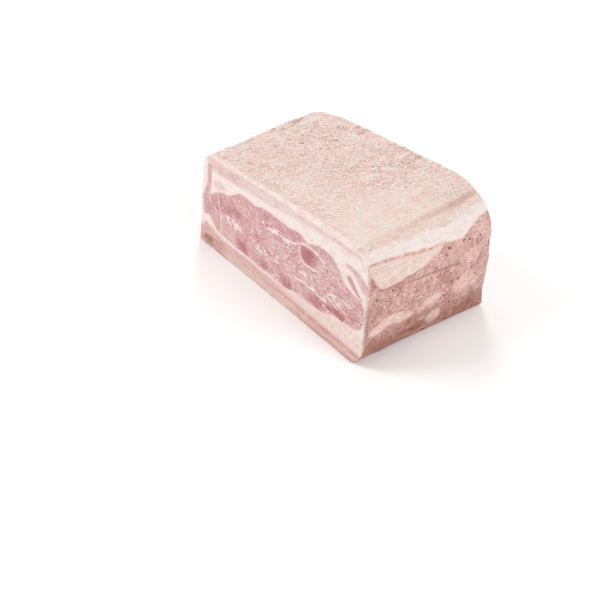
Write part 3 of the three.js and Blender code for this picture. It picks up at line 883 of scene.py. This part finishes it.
class Weave:
    """Adds and joins shader nodes, and holds the textures that the tissues share."""

    def __init__(self, tree):
        self.tree = tree
        self.place = self.stored("flesh", "Vector")
        self.bent = self.swayed(self.place)
        self.textures = {
            "broad": self.noise(BROAD, self.place),
            "middle": self.noise(MIDDLING, self.bent),
            "fine": self.noise(FINE, self.bent),
            "grit": self.noise(GRIT, self.place),
        }

    def add(self, kind, inputs=None, **settings):
        """A new node, with its settings made and its inputs set or joined."""
        made = self.tree.nodes.new(kind)
        for name, value in settings.items():
            setattr(made, name, value)
        for name, value in (inputs or {}).items():
            if isinstance(value, bpy.types.NodeSocket):
                self.tree.links.new(value, made.inputs[name])
            else:
                made.inputs[name].default_value = value
        return made

    def maths(self, kind, first, second=0.0, clamp=False):
        made = self.add("ShaderNodeMath", {0: first, 1: second}, operation=kind, use_clamp=clamp)
        return made.outputs[0]

    def times(self, first, second):
        return self.maths("MULTIPLY", first, second)

    def plus(self, first, *others):
        for other in others:
            first = self.maths("ADD", first, other)
        return first

    def between(self, ends, share):
        """A value that goes from the first end to the last as the share goes from 0 to 1."""
        return self.plus(ends[0], self.times(share, ends[1] - ends[0]))

    def centred(self, texture, amount):
        """A texture of 0 to 1, as moves of up to half the amount both ways."""
        return self.times(self.plus(texture, -0.5), amount)

    def stirred(self, value, moves):
        """A value moved about by some of the shared textures."""
        for name, amount in moves.items():
            value = self.plus(value, self.centred(self.textures[name], amount))
        return value

    def step(self, value, ends):
        """0 at the first end and 1 at the last, with a soft start and stop."""
        inputs = {"Value": value, "From Min": ends[0], "From Max": ends[1]}
        return self.add("ShaderNodeMapRange", inputs, interpolation_type="SMOOTHSTEP").outputs["Result"]

    def blend(self, share, first, second):
        """A colour that goes from the first to the second."""
        return self.add("ShaderNodeMix", {0: share, 6: first, 7: second}, data_type="RGBA").outputs[2]

    def three(self, value, pale, mid, deep):
        """Pale at 0, middling about a half and deep a little past 1."""
        paler = self.blend(self.step(value, THREE_MID), pale, mid)
        return self.blend(self.step(value, THREE_DEEP), paler, deep)

    def stored(self, name, output="Fac"):
        return self.add("ShaderNodeAttribute", attribute_name=name).outputs[output]

    def stretched(self, place, scale):
        return self.add("ShaderNodeMapping", {"Vector": place, "Scale": scale}).outputs[0]

    def turned(self, place, angles):
        return self.add("ShaderNodeMapping", {"Vector": place, "Rotation": angles}).outputs[0]

    def dots(self, kind, place, swelling):
        """Scattered round dots, at most one to each unit of their kind, as shares of 0 to its strength."""
        spread, least, added, strength = kind
        cells = self.add("ShaderNodeTexVoronoi", {"Vector": self.stretched(place, spread), "Scale": 1.0})
        radius = self.maths("MAXIMUM", self.plus(least, self.times(swelling, added)), SMALLEST_DOT)
        share = self.step(cells.outputs["Distance"], (radius, self.times(radius, DOT_CORE)))
        return self.times(share, strength)

    def noise(self, kind, place):
        """Cloudy texture of a kind, from 0 to 1."""
        spread, detail, rough = kind
        place = self.stretched(place, spread)
        inputs = {"Vector": place, "Scale": 1.0, "Detail": detail, "Roughness": rough}
        return self.add("ShaderNodeTexNoise", inputs).outputs["Fac"]

    def swayed(self, place):
        """The same places, pushed about by up to half the amount of the bend."""
        inputs = {"Vector": place, "Scale": BEND_SCALE, "Detail": BEND_DETAIL}
        sway = self.add("ShaderNodeTexNoise", inputs).outputs["Color"]
        inputs = {0: sway, 1: (0.5, 0.5, 0.5)}
        offset = self.add("ShaderNodeVectorMath", inputs, operation="SUBTRACT").outputs[0]
        inputs = {0: offset, 1: (BEND_AMOUNT,) * 3, 2: place}
        return self.add("ShaderNodeVectorMath", inputs, operation="MULTIPLY_ADD").outputs[0]


def lean_colour(w):
    """Smooth rose muscle with pale flecks along its grain and painted shade in the gaps between them;
    duller where it has weathered, with dark pores painted as the shade in small holes and light glints
    that are partly pale granules and partly painted highlights.
    """
    weather = w.stored("weather")
    coarse = w.stored("fleck")
    cream = w.stored("cream")
    crumbly = w.step(w.noise(CRUMBS, w.place), CRUMBLY)

    # Tone, then the tint of the lower strip
    fibres = w.centred(w.noise(LEAN_FIBRES, w.place), ROSE_FIBRES)
    fibres = w.times(fibres, w.step(coarse, LEAN_FIBRES_END))
    fine = w.centred(w.textures["fine"], ROSE_FINE)
    fine = w.times(fine, w.between(FINE_BY_COARSENESS, w.step(coarse, COARSENESS)))
    middle = w.times(w.centred(w.textures["middle"], ROSE_MIDDLE), w.between(MIDDLE_BY_WEATHER, weather))
    grit = w.times(weather, w.between(GRIT_BY_CRUMBS, crumbly))
    grit = w.times(w.centred(w.textures["grit"], ROSE_GRIT), grit)
    rose = w.plus(w.stirred(w.stored("rose"), ROSE_MOVES), middle, fine, fibres, grit)
    cut = w.three(rose, LEAN_PALE, LEAN_MID, LEAN_DEEP)
    end = w.three(rose, END_PALE, END_MID, END_DEEP)
    lean = w.blend(weather, cut, end)
    tint = w.blend(w.step(cream, TINT_PALES), STRIP_PINK, STRIP_PALE)
    lean = w.blend(w.times(w.step(cream, TINT_STARTS), TINT_STRENGTH), lean, tint)

    # Dots along the grain, with painted shade in the gaps between them, then veins
    grain = w.turned(w.bent, LEAN_TURN)
    lean = w.blend(w.dots(GAP_SHADE, w.turned(grain, GAP_TURN), coarse), lean, LEAN_DEEP)
    lean = w.blend(w.dots(FLECKS, grain, coarse), lean, FLECK)
    lean = w.blend(w.dots(THREADS, grain, coarse), lean, FLECK)
    # Glints where it has weathered: partly pale granules, partly painted highlights
    glinting = w.times(weather, w.between(GLINTS_BY_CRUMBS, crumbly))
    lean = w.blend(w.dots(GLINTS, grain, glinting), lean, GRANULE_AND_GLINT)
    # Dark pores where it has weathered: painted shade in small holes
    lean = w.blend(w.dots(LEAN_PORES, w.bent, w.step(weather, PORES_OPEN)), lean, PIT_SHADE)
    veins = w.stirred(w.stored("vein"), VEIN_MOVES)
    return w.blend(w.times(w.step(veins, VEIN_EDGE), VEIN_STRENGTH), lean, FLECK)


def fat_colour(w):
    """White to cream fat, faintly streaked, and pinker toward the lean."""
    weather = w.stored("weather")
    cream = w.stored("cream")
    depth = w.stored("fat")

    # Tone, with its streaks
    fine = w.times(w.centred(w.textures["fine"], CREAM_FINE), w.between(FAT_FINE_BY_WEATHER, weather))
    fibres = w.centred(w.noise(FAT_FIBRES, w.place), CREAM_FIBRES)
    fibres = w.times(fibres, w.step(weather, FAT_FIBRES_END))
    tone = w.plus(w.stirred(cream, CREAM_MOVES), fine, fibres)
    fat = w.blend(w.step(tone, FAT_CREAMS), FAT_WHITE, FAT_CREAM)
    streaks = w.step(w.noise(FAT_STREAKS, w.bent), STREAK_EDGE)
    fat = w.blend(w.times(streaks, w.between(STREAK_BY_WEATHER, weather)), fat, FAT_PINK)

    # Flakes and marks where it has weathered, shreds of lean near its edge
    flow = w.turned(w.bent, FAT_TURN)
    flaky = w.times(weather, w.between(FLAKES_BY_CREAM, cream))
    fat = w.blend(w.dots(FLAKES, flow, flaky), fat, FLECK)
    fat = w.blend(w.dots(MARKS, flow, flaky), fat, END_MID)
    shreds = w.dots(SHREDS, w.turned(w.bent, SHRED_TURN), w.step(depth, SHREDS_NEAR))
    fat = w.blend(shreds, fat, LEAN_MID)
    return w.blend(w.times(w.step(depth, PINK_NEAR), PINK_STRENGTH), fat, FAT_PINK)


def skin_colour(w):
    """Pink and cream skin with pale specks that are partly painted highlights, grains and wrinkles with
    painted light where they stand high and painted shade where they sit low, dark pores painted as the
    shade in small holes, and how high each stands.
    """
    cream = w.stored("cream")
    along = w.turned(w.bent, SKIN_TURN)
    busy = w.between(BUSY_BY_CALM, w.step(cream, CALM))

    # Tone and sand: pale and rosy grains, partly the skin's own speckle and partly painted light on the
    # grains that stand high and painted shade on those that sit low
    patchy = w.centred(w.noise(SKIN_PATCHES, w.bent), PATCH_MOVE)
    tone = w.plus(w.stirred(cream, SKIN_MOVES), patchy)
    skin = w.blend(w.step(tone, SKIN_CREAMS), SKIN_PINK, SKIN_CREAM)
    sand = w.noise(SAND, along)
    light = w.times(w.step(sand, SAND_LIGHT), busy)
    dark = w.times(w.step(sand, SAND_DARK), busy)
    skin = w.blend(w.times(light, SAND_LIGHT_STRENGTH), skin, SKIN_SPECK_AND_HIGHLIGHT)
    skin = w.blend(w.times(dark, SAND_DARK_STRENGTH), skin, SKIN_ROSE_AND_SHADE)

    # Wrinkles: painted shade in their troughs and painted light on their crests
    gate = w.times(w.between(WRINKLES_BY_LULL, w.step(w.noise(LULLS, w.place), LULL_EDGE)), busy)
    wrinkly = w.times(w.plus(w.stored("fleck"), WRINKLE_LEAST), gate)
    ripple = w.noise(RIPPLES, along)
    low = w.times(w.step(ripple, RIPPLE_DARK), wrinkly)
    high = w.times(w.step(ripple, RIPPLE_LIGHT), wrinkly)
    skin = w.blend(w.times(low, RIPPLE_DARK_STRENGTH), skin, SKIN_ROSE_AND_SHADE)
    skin = w.blend(w.times(high, RIPPLE_LIGHT_STRENGTH), skin, SKIN_SPECK_AND_HIGHLIGHT)

    # Specks, partly painted highlights; pores, painted as the shade in small holes; and stains
    specks = w.dots(SPECKS, along, busy)
    skin = w.blend(specks, skin, SKIN_SPECK_AND_HIGHLIGHT)
    opened = w.plus(busy, w.times(wrinkly, PORES_BY_WRINKLES))
    skin = w.blend(w.dots(SKIN_PORES, along, opened), skin, PIT_SHADE)
    skin = w.blend(w.dots(FAINT_PORES, along, opened), skin, SKIN_PIT_SHADE)
    stain = w.step(w.stirred(w.stored("brown_and_shade"), STAIN_MOVES), STAIN_EDGE)
    skin = w.blend(w.times(stain, STAIN_STRENGTH), skin, SKIN_STAIN)

    sand_height = w.plus(w.times(light, SAND_HIGH), w.times(dark, -SAND_HIGH))
    ripple_height = w.times(w.centred(ripple, RIPPLE_HIGH), wrinkly)
    return skin, w.plus(sand_height, w.times(specks, SPECK_HIGH), ripple_height)


def make_meat():
    """The one material, which mixes lean, fat and skin by what is stored on the points."""
    material = bpy.data.materials.new("bacon")
    material.use_nodes = True
    tree = material.node_tree
    tree.nodes.clear()
    w = Weave(tree)
    skinned = w.stored("skin")
    weather = w.stored("weather")

    # Lean or fat, browned in places, and given painted shade with a painted warm reflection from beneath
    # low on the right end
    edge = w.stirred(w.stored("fat"), FAT_MOVES)
    flesh = w.blend(w.step(edge, FAT_EDGE), lean_colour(w), fat_colour(w))
    brown_and_shade = w.stored("brown_and_shade")
    browning_and_shade = w.times(w.stirred(brown_and_shade, BROWN_MOVES), w.step(brown_and_shade, BROWN_STARTS))
    flesh = w.blend(w.maths("ADD", browning_and_shade, 0.0, clamp=True), flesh, BROWN)

    # Skin over it, then painted shade along creases, cracks and thin shadow lines, with the seam's own
    # colour on the right end, and painted shade in the pits
    skin, skin_height = skin_colour(w)
    colour = w.blend(skinned, flesh, skin)
    crease = w.stirred(w.stored("crease"), CREASE_MOVES)
    rim = w.times(w.step(crease, CREASE_RIM), w.between(CREASE_RIM_BY_SKIN, skinned))
    core = w.times(w.step(crease, CREASE_CORE), w.between(CREASE_CORE_BY_SKIN, skinned))
    colour = w.blend(rim, colour, CREASE_RED)
    colour = w.blend(core, colour, CREASE_SHADE_AND_SEAM)
    # Pits: painted shade inside the pits dug in the relief
    pit = w.step(w.stirred(w.stored("pit"), PIT_MOVES), PIT_EDGE)
    colour = w.blend(w.times(pit, PIT_STRENGTH), colour, w.blend(skinned, PIT_SHADE, SKIN_PIT_SHADE))

    # Grit and gloss
    gritty = w.plus(GRIT_LEAST, w.times(skinned, GRIT_OF_SKIN), w.times(weather, GRIT_OF_WEATHER))
    height = w.plus(w.times(w.textures["grit"], gritty), w.times(skin_height, skinned))
    inputs = {"Strength": BUMP_STRENGTH, "Distance": BUMP_DISTANCE, "Height": height}
    bump = w.add("ShaderNodeBump", inputs)
    fine_dull = w.times(w.textures["fine"], DULL_OF_FINE)
    dull = w.plus(DULL_LEAST, w.times(skinned, DULL_OF_SKIN), fine_dull)
    meat = w.add("ShaderNodeBsdfPrincipled", {
        "Base Color": colour, "Roughness": dull, "Normal": bump.outputs[0], "Specular IOR Level": GLOSS,
    })
    out = w.add("ShaderNodeOutputMaterial")
    tree.links.new(meat.outputs[0], out.inputs[0])
    return material


slab = bpy.data.objects.new("bacon_slab_look", make_slab())
bpy.context.scene.collection.objects.link(slab)
slab.data.materials.append(make_meat())
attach(slab, "root")
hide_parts("bacon_slab")

# Floor, light and camera, in metres
FLOOR_HALF = 4.0
FLOOR_WHITE = paint(248, 247, 246)
FLOOR_ROUGH = 0.8
LIGHTS = [  # name, place, aim, size and power
    ("key", (-0.55, -0.75, 0.9), (0.0, 0.0, 0.03), 0.6, 6.6),
    ("back", (-0.75, 0.6, 0.55), (0.0, 0.0, 0.06), 0.35, 4.2),
    ("fill", (0.9, 0.1, 0.7), (0.0, 0.0, 0.04), 0.6, 6.3),
]
CAMERA_PLACE = (0.40543, -0.33599, 0.37123)
CAMERA_AIM = (0.01248, -0.04064, 0.0)
SENSOR, LENS = 36.0, 54.0
SKY_WHITE, SKY_STRENGTH = (1.0, 1.0, 1.0, 1.0), 0.55


def put(name, data, place=(0, 0, 0), aim=None):
    """A new object in the scene, turned to look at its aim where it has one."""
    made = bpy.data.objects.new(name, data)
    made.location = place
    if aim:
        made.rotation_euler = (Vector(aim) - Vector(place)).to_track_quat("-Z", "Y").to_euler()
    bpy.context.scene.collection.objects.link(made)
    return made


def make_floor():
    """A wide white floor."""
    half = FLOOR_HALF
    corners = [(-half, -half, 0), (half, -half, 0), (half, half, 0), (-half, half, 0)]
    mesh = bpy.data.meshes.new("floor")
    mesh.from_pydata(corners, [], [(0, 1, 2, 3)])
    material = bpy.data.materials.new("floor")
    material.use_nodes = True
    shader = material.node_tree.nodes["Principled BSDF"]
    shader.inputs["Base Color"].default_value = FLOOR_WHITE
    shader.inputs["Roughness"].default_value = FLOOR_ROUGH
    mesh.materials.append(material)
    floor = put("floor", mesh)


def make_light(name, place, aim, size, power):
    """A round soft light."""
    data = bpy.data.lights.new(name, "AREA")
    data.shape = "DISK"
    data.size = size
    data.energy = power
    put(name, data, place, aim)


def make_camera():
    """The camera, where the photo was taken from."""
    data = bpy.data.cameras.new("camera")
    data.sensor_width = SENSOR
    data.lens = LENS
    bpy.context.scene.camera = put("camera", data, CAMERA_PLACE, CAMERA_AIM)


def make_world():
    """Even white light from all round."""
    world = bpy.data.worlds.new("studio")
    world.use_nodes = True
    sky = world.node_tree.nodes["Background"]
    sky.inputs["Color"].default_value = SKY_WHITE
    sky.inputs["Strength"].default_value = SKY_STRENGTH
    bpy.context.scene.world = world


make_floor()
for light in LIGHTS:
    make_light(*light)
make_camera()
make_world()
bpy.context.scene.view_settings.view_transform = "Standard"
